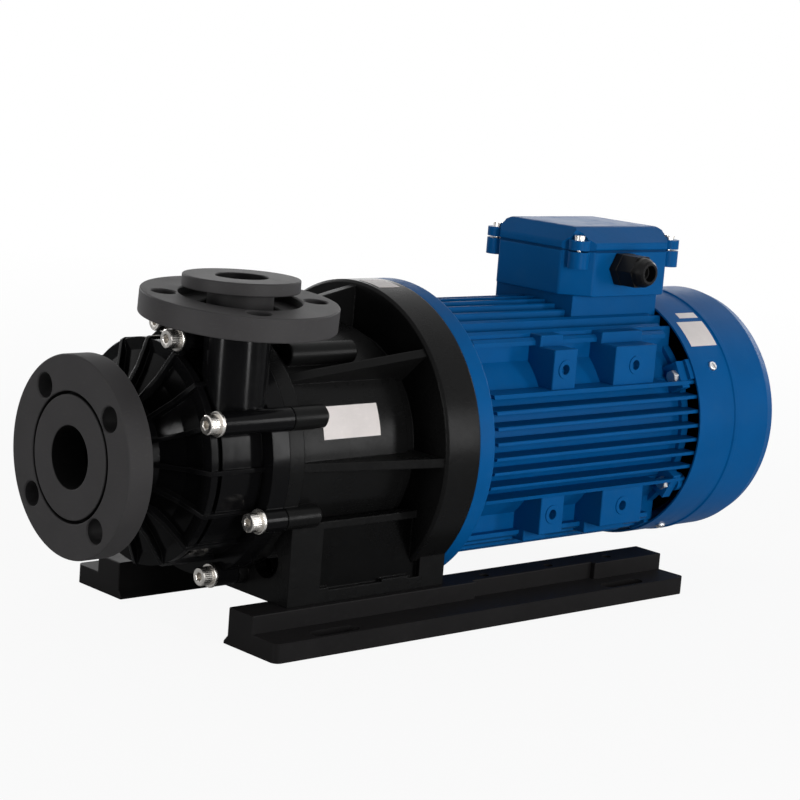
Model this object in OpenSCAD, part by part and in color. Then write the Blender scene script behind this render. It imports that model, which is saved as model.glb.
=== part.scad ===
// Magnetic drive pump with loose pipe flanges, a lantern bracket, a flange motor and two base rails.
// Units are millimetres, Z is up, X runs along the shaft from the suction side to the motor.
// The origin is on the floor, at the middle of the four anchor slots.

/* [Base] */
// Height of the shaft axis above the floor
axis_z = 136; // [134:1:140]
// Distance from the suction face to the middle of the anchor slots
base_mid = 324.5; // [322:0.5:327]
// Distance between anchor slots along the shaft
slot_spacing = 319; // [310:1:325]
// Distance between anchor slots across the base
slot_width_spacing = 239; // [237:1:241]
// Anchor slot length, end to end
slot_l = 46; // [36:1:50]
// Anchor slot width
slot_w = 13; // [11:1:14]
// Rail length
rail_l = 453; // [445:1:460]
// Height of the rail's upper step
rail_h = 29; // [27:1:30]
// Height of the rail's lower flange
rail_flange_h = 15; // [12:1:17]

/* [Suction flange] */
// Loose ring outside diameter
s_od = 152; // [150:1:156]
// Bolt circle diameter
s_pcd = 120; // [119:1:122]
// Bolt hole diameter
s_hole = 19; // [17:1:19]
// Loose ring thickness
s_ring_t = 21; // [19:0.5:21]
// Collar diameter
s_collar_d = 93; // [90:1:93]
// Suction bore diameter
s_bore = 47; // [44:1:48]
// Turn of the loose ring as it stands
s_turn = 38; // [0:1:89]

/* [Discharge flange] */
// Loose ring outside diameter
d_od = 147; // [145:1:150]
// Bolt circle diameter
d_pcd = 114; // [112:1:116]
// Bolt hole diameter
d_hole = 18; // [16:1:19]
// Loose ring thickness
d_ring_t = 18; // [17:0.5:18.5]
// Collar diameter
d_collar_d = 87; // [84:1:88]
// Discharge bore diameter
d_bore = 39; // [37:1:40]
// Height of the collar face above the axis
d_top = 140.5; // [139:0.5:143]
// Lean of the loose ring where it rests on the neck
d_lean = 4.2; // [3:0.1:4.5]
// Turn of the loose ring as it stands
d_turn = 65.5; // [0:0.5:89]

/* [Pump end] */
// Casing bolt circle radius
bolt_r = 99; // [98:0.5:100]
// Casing bolt head diameter
bolt_head_d = 14.5; // [13:0.5:15]
// Bracket disc and motor flange diameter
disc_d = 250; // [246:1:252]
// Bracket barrel diameter
barrel_d = 184; // [180:1:188]
// Impeller diameter
impeller_d = 114; // [106:1:118]

/* [Motor] */
// Shaft diameter in the magnet hub
shaft_d = 28; // [26:1:28]
// Diameter over the cooling fins
fin_d = 215; // [208:1:217]
// Fin thickness
fin_t = 3.2; // [2.5:0.1:4]
// Distance between fins
fin_pitch = 12.3; // [12:0.1:12.6]
// Fan cowl diameter
cowl_d = 221; // [219:1:224]

/* [Hidden] */
$fn = 64;
// Shaft position of each face, measured from the suction face
x_nose = 22;
x_seat = 128;
x_flange_back = 142;
x_barrel_end = 250;
x_disc = 262;
x_motor = 296.6;
x_frame = 314;
x_rear = 572;
x_cowl = 577;
x_cowl_end = 688.5;
// The fan, the bead and the cowl screws keep their places along the room between the shield and the grille
cowl_l = x_cowl_end - x_cowl;
x_shield_back = x_rear + 10;
fan_room = x_cowl_end - x_shield_back;
x_fan = x_shield_back + fan_room * 18 / 106.5;
fan_w = fan_room * 34 / 106.5;
x_fan_end = x_fan + fan_w;
fan_r = 96;
fan_bore_r = 12.5;
clip_t = 1.5;
x_bead = x_cowl + cowl_l * 45.5 / 111.5;
bead_w = cowl_l * 6.5 / 111.5;
bead_h = 1.2;
// Clearances
run_gap = 0.05;
free_gap = 0.4;
hole_gap = 0.3;
// Discharge axis and neck
x_d = 97.5;
y_d = -64.75;
d_neck_r = 24.5;
d_collar_t = 9.5;
d_step = 8;
d_ring_top = d_top - 15;
d_weld = 103;
// Top of the stop that the leaning ring rests on
d_stop = d_ring_top - d_ring_t + 1.9;
neck_z = 38;
s_neck_r = 30;
s_collar_t = 10.5;
s_step = 10.5;
ring_gap = 2.2;
ring_bore_r = 32;
// Wall left round each bolt hole of a loose ring
hole_wall = 5;
// Casing bolts: the two screws beside the outlet sit further forward than the other six
upper = [22.5, 67.5];
lower = [-22.5, -67.5, -112.5, -157.5, 157.5, 112.5];
x_head_up = 52.5;
x_head_low = 96.5;
head_h = 9;
washer_t = 2.5;
washer_r = 9.5;
boss_r = 9;
screw_r = 4;
x_screw_end = 156;
// Casing ribs, rim and barrel
rib_n = 16;
rib_t = 3.6;
rib_r = 87.5;
rim_r = 86;
rim_x = 65;
rim_t = 6;
barrel_facet_r = 85;
// Wet end
can_r = 45;
can_t = 3;
x_can = 121;
x_can_end = 220;
chamber_r = 69;
can_flange_r = 76;
spindle_r = 8;
// Bracket
foot_y = 95;
foot_x0 = 137;
shelf_z = -43;
foot_bolt_y = 77;
x_foot2 = x_disc - 31;
pilot_r = 90;
disc_r = disc_d / 2;
// Motor
bear_r = 31;
seat_r = 15;
frame_r = 90;
core_r = 84;
rotor_r = 49.5;
x_core = 362;
core_l = 140;
winding_l = 24;
fin_r = fin_d / 2;
cowl_r = cowl_d / 2;
cowl_t = 1.6;
cowl_a = [30, 120, 210, 300];
ear_a = [28, 152, -28, -152];
ear_r = 100;
ear_t = 10;
ear_screw_r = 2.9;
x_cowl_screw = x_cowl + cowl_l * 25 / 111.5;
lug_over = 8;
x_bear1 = 300;
x_bear2 = 560;
bear_w = 16;
pad_x = [[405, 26], [479, 50]];
pad_a = 36;
// Terminal box
box_x0 = 460;
box_x1 = 592;
box_y = 58;
box_cut = 21;
box_z0 = 114;
box_z1 = 152;
seal_t = 1.5;
lid_z1 = 172;
box_wall = 4;
gland_x = 514;
gland_z = 138;
gland_r = 10;
ear_xy = [[box_x0 + 9, -box_y + 9], [box_x0 + 9, box_y - 9], [box_x1 - 9, -box_y + 9], [box_x1 - 9, box_y - 9]];
// Rails
rail_x0 = 101;
rail_y0 = 71;
rail_y1 = 100;
rail_y2 = 129;

// Moves the pump's own frame, with X from the suction face and Z from the shaft axis
module at_pump() {
    translate([-base_mid, 0, axis_z]) children();
}

// Round solid about the shaft axis from a list of [x, radius] points
module turned(pts) {
    rotate([0, 90, 0]) rotate_extrude() polygon([for (p = pts) [p[1], p[0]]]);
}

// Plain cylinder along the shaft
module bar(x0, x1, r) {
    translate([x0, 0, 0]) rotate([0, 90, 0]) cylinder(h = x1 - x0, r = r);
}

// Plain ring about the shaft
module ring(x0, x1, r1, r0) {
    difference() {
        bar(x0, x1, r1);
        bar(x0 - 1, x1 + 1, r0);
    }
}

// Flat shape in Y and Z pushed along the shaft
module along(x0, h) {
    translate([x0, 0, 0]) rotate([90, 0, 90]) linear_extrude(height = h) children();
}

// Places a thing at an angle round the shaft, 0 on the near side and 90 on top
module around(a, r) {
    rotate([-a, 0, 0]) translate([0, -r, 0]) children();
}

// Flat plate in a plane through the shaft, from a list of [x, radius] points
module plate(a, t, pts) {
    rotate([-a, 0, 0]) translate([0, 0, -t / 2]) linear_extrude(height = t)
        polygon([for (p = pts) [p[0], -p[1]]]);
}

// Hexagonal prism along the shaft
module hex(x0, h, af) {
    along(x0, h) circle(r = af / 2 / cos(30), $fn = 6);
}

// Many sided prism with its corners on the casing ribs
module facet_prism(x0, h, r) {
    along(x0, h) circle(r = r, $fn = rib_n);
}

// Loose ring flange lying with its face at z = 0 and its body below
module loose_ring(od, t, step_r, step, bore_r, pcd, hole) {
    difference() {
        union() {
            rotate_extrude() polygon([[0, -t], [od / 2 - 1.2, -t], [od / 2, -t + 1.2], [od / 2, -1.2], [od / 2 - 1.2, 0],
                [0, 0]]);
            for (i = [0:3]) rotate([0, 0, 90 * i]) translate([pcd / 2, 0, -t + 0.2])
                cylinder(h = t - 0.4, r = hole / 2 + hole_wall);
        }
        translate([0, 0, -step]) cylinder(h = step + 1, r = step_r);
        translate([0, 0, -t - 1]) cylinder(h = t + 2, r = bore_r);
        for (i = [0:3]) rotate([0, 0, 90 * i]) translate([pcd / 2, 0, -t - 1]) cylinder(h = t + 2, r = hole / 2);
    }
}

// Loose backing ring on the suction side, free to turn on the stub end
module suction_ring_flange() {
    color([0.24, 0.24, 0.25]) at_pump() rotate([-s_turn, 0, 0]) rotate([0, -90, 0]) rotate([0, 0, 90])
        loose_ring(s_od, s_ring_t, s_collar_d / 2 + ring_gap, s_step, ring_bore_r, s_pcd, s_hole);
}

// Stub end: collar with a smooth face and a short neck fused into the casing nose
module suction_stub_end() {
    color([0.22, 0.22, 0.23]) at_pump() difference() {
        turned([[0, s_bore / 2], [0, s_collar_d / 2 - 1], [1, s_collar_d / 2], [s_collar_t - free_gap, s_collar_d / 2],
            [s_collar_t - free_gap, s_neck_r], [30, s_neck_r], [30, s_bore / 2]]);
    }
}

// Stub end of the discharge: collar on a long neck, butt fused to the casing
module discharge_stub_end() {
    color([0.22, 0.22, 0.23]) at_pump() translate([x_d, y_d, 0]) rotate_extrude()
        polygon([[d_bore / 2, d_weld], [d_neck_r, d_weld], [d_neck_r, d_top - d_collar_t],
            [d_collar_d / 2, d_top - d_collar_t], [d_collar_d / 2, d_top - 1], [d_collar_d / 2 - 1, d_top],
            [d_bore / 2, d_top]]);
}

// Loose backing ring on the discharge side, dropped on the neck and leaning to the near side
module discharge_ring_flange() {
    color([0.24, 0.24, 0.25]) at_pump() translate([x_d, y_d, d_ring_top]) rotate([d_lean, 0, 0]) rotate([0, 0, d_turn])
        loose_ring(d_od, d_ring_t, d_collar_d / 2 + ring_gap, d_step, ring_bore_r - 1, d_pcd, d_hole);
}

// Ribbed front casing with the volute, the tangential outlet and the bolt bosses
module front_casing() {
    color([0.05, 0.05, 0.055]) at_pump() difference() {
        union() {
            turned([[x_nose, s_neck_r - 1], [x_nose, 38], [50, 43], [60, 62], [rim_x + 1, 79], [rim_x + rim_t, 81],
                [112, 81], [112, 98], [x_seat, 98], [x_seat, s_neck_r - 1]]);
            facet_prism(rim_x, rim_t, rim_r);
            facet_prism(rim_x + rim_t + 4.5, 37, barrel_facet_r);
            for (i = [0:rib_n - 1]) plate(i * 360 / rib_n, rib_t, [[38, 36], [44, 46], [56, 66], [rim_x - 1.2, rim_r + 0.4],
                [rim_x + 1, rib_r], [113, rib_r], [113, 60], [rim_x, 60]]);
            for (a = upper) plate(a, 7, [[rim_x + 1, 70], [rim_x + 1, bolt_r], [113, bolt_r], [113, 70]]);
            for (a = upper) around(a, bolt_r) bar(x_head_up + head_h + washer_t, x_seat, boss_r);
            for (a = lower) around(a, bolt_r) bar(x_head_low + head_h + washer_t, x_seat, boss_r);
            translate([x_d, y_d, neck_z]) cylinder(h = d_weld - neck_z, r = d_neck_r);
            translate([x_d, y_d, neck_z - 13]) cylinder(h = 13.1, r1 = 11, r2 = d_neck_r);
            translate([x_d - 3, y_d + d_neck_r - 2, 60]) cube([6, 14.4, d_weld - 61]);
            translate([x_d - 3, y_d + d_neck_r + free_gap, 60]) cube([6, 12, d_stop - 60]);
        }
        bar(x_nose - 1, 30, s_neck_r);
        bar(29, 60, s_bore / 2 + 1);
        turned([[59, 0], [59, 28], [77, 28], [77, 30], [82, 30], [82, 62], [88, chamber_r], [x_can + 1, chamber_r], [x_can + 1, 0]]);
        ring(x_can - 3, x_can + 1, 74.5, 71.5);
        bar(x_can, x_seat + 1, can_flange_r);
        for (a = upper) around(a, bolt_r) bar(20, x_head_up + head_h + washer_t, washer_r + 1);
        for (a = lower) around(a, bolt_r) bar(20, x_head_low + head_h + washer_t, washer_r + 1);
        for (a = concat(upper, lower)) around(a, bolt_r) bar(40, x_seat + 1, screw_r + hole_gap);
        translate([x_d, y_d, neck_z + 3]) cylinder(h = d_weld - neck_z, r = d_bore / 2 - 0.5);
        translate([x_d, y_d + 8, 8]) cylinder(h = neck_z, r = 14);
    }
    color([0.05, 0.05, 0.055]) at_pump() difference() {
        union() {
            bar(60.5, 72, 13);
            for (a = [90, 210, 330]) plate(a, 5, [[61, 5], [61, 30], [71, 30], [71, 5]]);
        }
        bar(64, 73, spindle_r);
    }
}

// Flat seal ring between the casing and the rear casing
module casing_gasket() {
    color([0.1, 0.1, 0.1]) at_pump() ring(x_can - 3, x_can, 74.5, 71.5);
}

// Rear casing: the sealed can between the two magnet rings, with the rear seat of the spindle
module rear_casing() {
    color([0.08, 0.08, 0.09]) at_pump() difference() {
        turned([[x_can, 0], [x_can, can_flange_r], [x_seat, can_flange_r], [x_seat, can_r], [x_can_end - 4, can_r],
            [x_can_end, can_r - 4], [x_can_end, 0]]);
        turned([[x_can - 1, 0], [x_can - 1, can_r - can_t], [x_can_end - 6, can_r - can_t], [x_can_end - 6, 16],
            [x_can_end - 12, 16], [x_can_end - 12, 0]]);
        bar(x_can_end - 13, x_can_end - 4, spindle_r);
    }
}

// Fixed ceramic spindle that carries the impeller
module pump_spindle() {
    color([0.92, 0.9, 0.84]) at_pump() bar(64, x_can_end - 4, spindle_r);
}

// Ceramic thrust ring on the front seat of the spindle
module front_thrust_ring() {
    color([0.9, 0.88, 0.82]) at_pump() ring(72, 76, 13, spindle_r);
}

// Wear ring pressed in the casing round the impeller mouth
module casing_liner_ring() {
    color([0.85, 0.84, 0.8]) at_pump() ring(77, 82, 30, 25);
}

// Closed impeller with six curved vanes and a drum for the inner magnet
module impeller() {
    r = impeller_d / 2;
    color([0.12, 0.12, 0.13]) at_pump() difference() {
        union() {
            ring(84, 88, r, 22);
            ring(76.6, 84, 25 - free_gap, 22);
            bar(104, 112, r);
            bar(92, 206, 25);
            bar(77.5, 104, 17);
            for (i = [0:5]) rotate([-60 * i, 0, 0]) translate([0, -r + 2, 0]) along(88, 16) intersection() {
                difference() {
                    translate([r * 0.55, 26]) circle(r = r * 0.95);
                    translate([r * 0.55, 26]) circle(r = r * 0.95 - 4);
                }
                translate([6, -34]) square([r - 22, 68]);
            }
        }
        bar(70, 210, 13);
    }
}

// Carbon bearing bush in the impeller, running on the spindle
module bearing_bush() {
    color([0.16, 0.16, 0.17]) at_pump() ring(76.5, 206, 13, spindle_r + run_gap);
}

// Inner magnet ring, encapsulated on the impeller drum
module inner_magnet() {
    color([0.3, 0.3, 0.32]) at_pump() ring(124, 204, 38, 25);
}

// Cup shaped hub that carries the outer magnets on the motor shaft
module outer_magnet_hub() {
    color([0.45, 0.45, 0.46]) at_pump() difference() {
        turned([[138, 56], [138, 62], [238, 62], [242, 56], [242, 26], [284, 26], [284, 0], [226, 0], [226, 56]]);
        bar(236.6, 285, shaft_d / 2);
        translate([246, -4, 0]) cube([32, 8, 18]);
    }
}

// Outer magnet segments, glued in the cup
module outer_magnets() {
    color([0.35, 0.35, 0.37]) at_pump() difference() {
        ring(140, 222, 56, 48);
        for (i = [0:4]) rotate([36 * i, 0, 0]) translate([139, -60, -1]) cube([84, 120, 2]);
    }
}

// Parallel key between shaft and hub
module hub_key() {
    color([0.6, 0.6, 0.6]) at_pump() translate([246, -4, 10]) cube([32, 8, 8]);
}

// One foot pad of the bracket, on its rail
module bracket_foot(x0, side) {
    translate([x0, side > 0 ? rail_y0 + 1 : -foot_y, -axis_z + rail_h]) cube([28, foot_y - rail_y0 - 1, 12]);
}

// Lantern bracket: pump flange, barrel, motor disc, ribs, bosses and the pedestal on the rails
module bracket() {
    z0 = -axis_z + rail_h;
    color([0.055, 0.055, 0.06]) at_pump() difference() {
        union() {
            turned([[x_seat, 60], [x_seat, 98], [x_flange_back, 98], [x_flange_back, barrel_d / 2],
                [x_barrel_end, barrel_d / 2], [x_barrel_end + 3, 86], [x_disc, 86], [x_disc, disc_r - 2],
                [x_disc + 2, disc_r], [x_motor, disc_r], [x_motor, 60]]);
            for (a = [0, 42, 90, 138, 180]) plate(a, 7, [[x_flange_back - 2, 80], [x_flange_back - 2, 95],
                [x_disc + 4, disc_r - 3], [x_disc + 4, 80]]);
            for (a = concat(upper, lower)) around(a, bolt_r) turned([[x_seat + 0.8, 0], [x_seat + 0.8, boss_r],
                [160, boss_r], [164, boss_r - 4], [164, 0]]);
            for (a = [54.5, 125.5]) around(a, barrel_d / 2 + 5) turned([[150, 0], [150, 8], [151, 9],
                [214, 9], [218, 5], [218, 0]]);
            difference() {
                translate([foot_x0, -foot_y, z0]) cube([x_motor - foot_x0, 2 * foot_y, shelf_z - z0]);
                translate([foot_x0 + 12, -foot_y + 10, z0 - 1]) cube([x_motor - foot_x0 - 26, 2 * foot_y - 20, shelf_z - z0 + 2]);
                for (s = [-1, 1]) translate([foot_x0 + 31, s * (foot_y + 4) - 8, z0 + 10]) cube([102, 16, shelf_z - z0 - 16]);
                for (s = [-1, 1]) translate([0, s * 66, z0 + 32]) bar(foot_x0 - 1, foot_x0 + 13, 15);
            }
            for (s = [-1, 1]) bracket_foot(foot_x0 + 12, s);
            for (s = [-1, 1]) bracket_foot(x_foot2, s);
        }
        bar(x_seat - 1, x_seat + 6, 66);
        bar(x_seat + 6, x_motor + 1, 76);
        bar(x_motor - 4.4, x_motor + 1, pilot_r);
        for (a = concat(upper, lower)) around(a, bolt_r) bar(x_seat - 1, x_screw_end, screw_r);
        for (a = [45:90:315]) around(a, 107.5) bar(x_motor - 22, x_motor + 1, 5.9);
        for (s = [-1, 1], x = [foot_x0 + 26, x_foot2 + 14]) translate([x, s * foot_bolt_y, z0 - 1]) cylinder(h = 14, r = 4.5);
    }
}

// One socket head cap screw along the shaft, with its head at x0
module cap_screw(x0) {
    difference() {
        union() {
            turned([[x0, 0], [x0, bolt_head_d / 2 - 0.8], [x0 + 0.8, bolt_head_d / 2],
                [x0 + head_h, bolt_head_d / 2], [x0 + head_h, 0]]);
            bar(x0 + head_h, x_screw_end, screw_r);
        }
        hex(x0 - 1, 6, 6);
    }
}

// Socket head screws that draw the casing to the bracket
module casing_bolts() {
    color([0.78, 0.77, 0.75]) at_pump() {
        for (a = upper) around(a, bolt_r) cap_screw(x_head_up);
        for (a = lower) around(a, bolt_r) cap_screw(x_head_low);
    }
}

// Plain washers under the casing screws
module casing_washers() {
    color([0.75, 0.74, 0.72]) at_pump() {
        for (a = upper) around(a, bolt_r) ring(x_head_up + head_h, x_head_up + head_h + washer_t, washer_r, screw_r + hole_gap);
        for (a = lower) around(a, bolt_r) ring(x_head_low + head_h, x_head_low + head_h + washer_t, washer_r, screw_r + hole_gap);
    }
}

// One stepped base rail with anchor slots, made for the near side
module rail() {
    x_mid = rail_x0 - base_mid;
    difference() {
        union() {
            translate([x_mid, -rail_y1, 0]) cube([rail_l, rail_y1 - rail_y0, rail_h]);
            translate([x_mid + 6, -rail_y2, 0]) cube([rail_l - 12, rail_y2 - rail_y0, rail_flange_h]);
            translate([x_mid, -rail_y2 + 6, 0]) cube([rail_l, rail_y2 - rail_y0 - 6, rail_flange_h]);
            for (x = [x_mid + 6, x_mid + rail_l - 6]) translate([x, -rail_y2 + 6, 0]) cylinder(h = rail_flange_h, r = 6);
            translate([x_mid, -rail_y0, 0]) rotate([90, 0, 90]) linear_extrude(height = rail_l)
                polygon([[-1, 0], [4.5, 0], [4.5, 2], [0, 7], [-1, 7]]);
        }
        for (x = [-slot_spacing / 2, slot_spacing / 2]) translate([x, -slot_width_spacing / 2, -1]) {
            for (s = [-1, 1]) translate([s * (slot_l - slot_w) / 2, 0, 0]) cylinder(h = rail_h, r = slot_w / 2);
            translate([-(slot_l - slot_w) / 2, -slot_w / 2, 0]) cube([slot_l - slot_w, slot_w, rail_h]);
        }
        translate([330 - base_mid, -rail_y1 - 1, rail_flange_h]) cube([140, 6, rail_h]);
        for (x = [351, 426, 498]) translate([x - base_mid, -87, rail_h - 18]) cylinder(h = 19, r = 4);
        for (x = [foot_x0 + 26, x_foot2 + 14]) translate([x - base_mid, -foot_bolt_y, 6]) cylinder(h = rail_h, r = 4);
    }
}

// Base rail on the near side
module base_rail_near() {
    color([0.2, 0.2, 0.21]) rail();
}

// Base rail on the far side
module base_rail_far() {
    color([0.2, 0.2, 0.21]) mirror([0, 1, 0]) rail();
}

// Hex screws that hold the bracket's feet on the rails
module base_bolts() {
    color([0.7, 0.7, 0.7]) at_pump() for (s = [-1, 1], x = [foot_x0 + 26, x_foot2 + 14])
        translate([x, s * foot_bolt_y, -axis_z + rail_h]) {
            translate([0, 0, -20]) cylinder(h = 32, r = 4);
            translate([0, 0, 12]) linear_extrude(height = 5.5) circle(r = 7.5, $fn = 6);
        }
}

// Drive end shield with the mounting flange, pilot and bearing seat
module drive_end_shield() {
    color([0.02, 0.2, 0.42]) at_pump() difference() {
        turned([[x_motor - 4, 22], [x_motor - 4, pilot_r], [x_motor, pilot_r], [x_motor, disc_r], [x_frame - 1.5, disc_r],
            [x_frame, disc_r - 1.5], [x_frame, core_r], [x_frame + 6, core_r], [x_frame + 6, 76], [x_frame - 4, 70],
            [x_frame - 4, 40], [x_frame + 2, 38], [x_frame + 2, 22]]);
        bar(x_motor - 5, x_bear1, 21);
        bar(x_bear1, x_frame + 3, bear_r);
        for (a = [45:90:315]) around(a, 107.5) bar(x_motor - 1, x_frame + 1, 6.2);
    }
}

// Hex screws through the motor flange into the bracket
module flange_bolts() {
    color([0.7, 0.7, 0.7]) at_pump() for (a = [45:90:315]) around(a, 107.5) {
        bar(x_motor - 20, x_frame, 5.9);
        hex(x_frame, 7.5, 18);
    }
}

// Lip seal where the shaft leaves the motor
module shaft_seal() {
    color([0.08, 0.08, 0.08]) at_pump() turned([[x_motor - 3, shaft_d / 2 + 1.5], [x_motor - 3, 21], [x_bear1, 21],
        [x_bear1, 16.5], [x_motor - 1, shaft_d / 2 + 1.5]]);
}

// Side fins lie flat, top and bottom fins stand up, all cut to one round outline
module fin_set() {
    intersection() {
        union() {
            for (i = [-4:3]) translate([334, -120, (i + 0.5) * fin_pitch - fin_t / 2]) cube([232, 240, fin_t]);
            for (i = [-5:5]) translate([334, i * fin_pitch - fin_t / 2, -120]) cube([232, fin_t, 240]);
            for (s = [-1, 1]) translate([334, -70, s * 81 - 3]) cube([232, 140, 6]);
        }
        bar(330, 570, fin_r);
    }
}

// Finned motor frame with foot pads and the terminal box platform
module motor_frame() {
    color([0.02, 0.21, 0.44]) at_pump() difference() {
        union() {
            bar(x_frame, x_rear, frame_r);
            fin_set();
            for (my = [0, 1], mz = [0, 1], p = pad_x) mirror([0, my, 0]) mirror([0, 0, mz])
                around(pad_a, 0) translate([p[0], -fin_r + 1, -12]) cube([p[1], 30, 40]);
            for (a = ear_a) around(a, 0) translate([x_rear - ear_t, -ear_r - 6, -12]) cube([ear_t - 0.6, 18, 24]);
            translate([470, -46, 70]) cube([98, 92, box_z0 - 70]);
        }
        bar(x_frame - 1, x_rear + 1, core_r);
        for (a = [pad_a, 180 - pad_a, -pad_a, pad_a - 180], p = pad_x) around(a, fin_r + 1) translate([p[0] + p[1] / 2, 0, 0])
            rotate([-90, 0, 0]) cylinder(h = 12, r = 4.2);
        translate([519, 0, 60]) cylinder(h = 70, r = 22);
        for (a = ear_a) around(a, ear_r) bar(x_rear - ear_t - 1, x_rear + 1, ear_screw_r + hole_gap);
        for (a = ear_a) around(a, ear_r) bar(x_rear - ear_t - 16, x_rear - ear_t, 8);
    }
}

// Laminated stator core in the frame
module stator_core() {
    color([0.4, 0.4, 0.42]) at_pump() ring(x_core, x_core + core_l, core_r, rotor_r + 0.6);
}

// End windings on both sides of the core
module stator_windings() {
    color([0.62, 0.3, 0.12]) at_pump() {
        for (x = [x_core - winding_l, x_core + core_l]) turned([[x, 56], [x, 77], [x + 3, 80], [x + winding_l - 3, 80],
            [x + winding_l, 77], [x + winding_l, 56]]);
    }
}

// Stepped motor shaft with the fan seat behind
module motor_shaft() {
    color([0.62, 0.62, 0.63]) at_pump() difference() {
        turned([[236.6, 0], [236.6, shaft_d / 2 - 1], [237.6, shaft_d / 2], [x_motor - 2, shaft_d / 2],
            [x_motor - 2, seat_r], [322, seat_r], [322, 19], [548, 19], [548, seat_r], [580, seat_r],
            [580, fan_bore_r], [x_fan_end + 6, fan_bore_r], [x_fan_end + 6, 0]]);
        translate([246, -4, 10]) cube([32, 8, 10]);
        ring(x_fan_end, x_fan_end + clip_t, 14, fan_bore_r - 1);
    }
}

// Cage rotor core pressed on the shaft
module rotor_core() {
    color([0.5, 0.5, 0.52]) at_pump() union() {
        ring(x_core, x_core + core_l, rotor_r, 19);
        ring(x_core - 8, x_core, rotor_r - 4, 34);
        ring(x_core + core_l, x_core + core_l + 8, rotor_r - 4, 34);
    }
}

// Outer ring of a deep groove bearing
module bearing_outer(x0) {
    ring(x0, x0 + bear_w, bear_r, 26);
}

// Inner ring with its balls
module bearing_inner(x0) {
    union() {
        ring(x0, x0 + bear_w, 20, seat_r);
        for (i = [0:8]) rotate([40 * i, 0, 0]) translate([x0 + bear_w / 2, -22.6, 0]) sphere(r = 3);
    }
}

// Drive end bearing, fixed ring
module drive_bearing_outer() {
    color([0.7, 0.7, 0.72]) at_pump() bearing_outer(x_bear1);
}

// Drive end bearing, turning ring with balls
module drive_bearing_inner() {
    color([0.72, 0.72, 0.74]) at_pump() bearing_inner(x_bear1);
}

// Fan end bearing, fixed ring
module rear_bearing_outer() {
    color([0.7, 0.7, 0.72]) at_pump() bearing_outer(x_bear2);
}

// Fan end bearing, turning ring with balls
module rear_bearing_inner() {
    color([0.72, 0.72, 0.74]) at_pump() bearing_inner(x_bear2);
}

// Rear end shield with the fan end bearing seat and four lugs for the cowl
module rear_end_shield() {
    color([0.02, 0.2, 0.42]) at_pump() difference() {
        union() {
            turned([[x_rear - 6, 70], [x_rear - 6, core_r], [x_rear, core_r], [x_rear, frame_r + 4], [x_rear + 8, frame_r + 4],
                [x_rear + 10, 86], [x_rear + 10, 18], [x_bear2 - 2, 18], [x_bear2 - 2, 36], [x_rear - 6, 38]]);
            intersection() {
                union() {
                    for (a = cowl_a) around(a, 0) translate([x_rear, -cowl_r, -9]) {
                        cube([10, 24, 18]);
                        cube([x_cowl_screw + lug_over - x_rear, 11, 18]);
                    }
                    for (a = ear_a) around(a, ear_r) bar(x_rear, x_rear + 9.4, 8);
                }
                bar(x_rear - 1, x_cowl_screw + lug_over + 12, cowl_r - cowl_t);
            }
        }
        bar(x_bear2, x_bear2 + bear_w, bear_r);
        bar(x_bear2 - 3, x_rear + 11, 18);
        for (a = ear_a) around(a, ear_r) bar(x_rear - 1, x_rear + 11, ear_screw_r);
        for (a = cowl_a) around(a, cowl_r + 1) translate([x_cowl_screw, 0, 0]) rotate([-90, 0, 0]) cylinder(h = 14, r = 2);
    }
}

// Small hex screws in four ears that hold the rear shield, heads towards the pump
module shield_bolts() {
    color([0.7, 0.7, 0.7]) at_pump() for (a = ear_a) around(a, ear_r) {
        bar(x_rear - ear_t, x_rear + 9, ear_screw_r);
        hex(x_rear - ear_t - 5, 5, 10);
    }
}

// Cooling fan with straight blades
module cooling_fan() {
    color([0.1, 0.1, 0.11]) at_pump() difference() {
        union() {
            bar(x_fan, x_fan_end, 22);
            ring(x_fan, x_fan + 4, fan_r, fan_bore_r);
            for (i = [0:8]) plate(40 * i, 3, [[x_fan + 3, 20], [x_fan + 3, fan_r], [x_fan_end - 2, fan_r], [x_fan_end - 2, 20]]);
        }
        bar(x_fan - 1, x_fan_end + 7, fan_bore_r);
    }
}

// Circlip that keeps the fan on the shaft
module fan_circlip() {
    color([0.3, 0.3, 0.32]) at_pump() difference() {
        ring(x_fan_end, x_fan_end + clip_t, 16, fan_bore_r - 1);
        translate([x_fan_end - 1, -3, 0]) cube([clip_t + 2.5, 6, 20]);
    }
}

// Sheet cowl over the fan with a slotted grille at the back
module fan_cowl() {
    color([0.02, 0.21, 0.44]) at_pump() difference() {
        turned([[x_cowl, cowl_r - cowl_t], [x_cowl, cowl_r], [x_bead, cowl_r], [x_bead + 1, cowl_r + bead_h],
            [x_bead + bead_w - 1, cowl_r + bead_h], [x_bead + bead_w, cowl_r], [x_cowl_end - 19, cowl_r], [x_cowl_end - 9, cowl_r - 3], [x_cowl_end - 3, cowl_r - 9],
            [x_cowl_end, cowl_r - 18], [x_cowl_end, 0], [x_cowl_end - cowl_t, 0], [x_cowl_end - cowl_t, cowl_r - 19],
            [x_cowl_end - 4, cowl_r - 10.5], [x_cowl_end - 10, cowl_r - 4.6], [x_cowl_end - 20, cowl_r - cowl_t]]);
        for (r = [22:11:77]) difference() {
            ring(x_cowl_end - 4, x_cowl_end + 1, r + 6.5, r);
            for (a = [0, 60, 120]) plate(a, 7, [[x_cowl_end - 20, -100], [x_cowl_end - 20, 100], [x_cowl_end + 2, 100],
                [x_cowl_end + 2, -100]]);
        }
        for (a = cowl_a) around(a, cowl_r - 4) translate([x_cowl_screw, 0, 0])
            rotate([90, 0, 0]) cylinder(h = 8, r = 2.3);
    }
}

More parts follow.
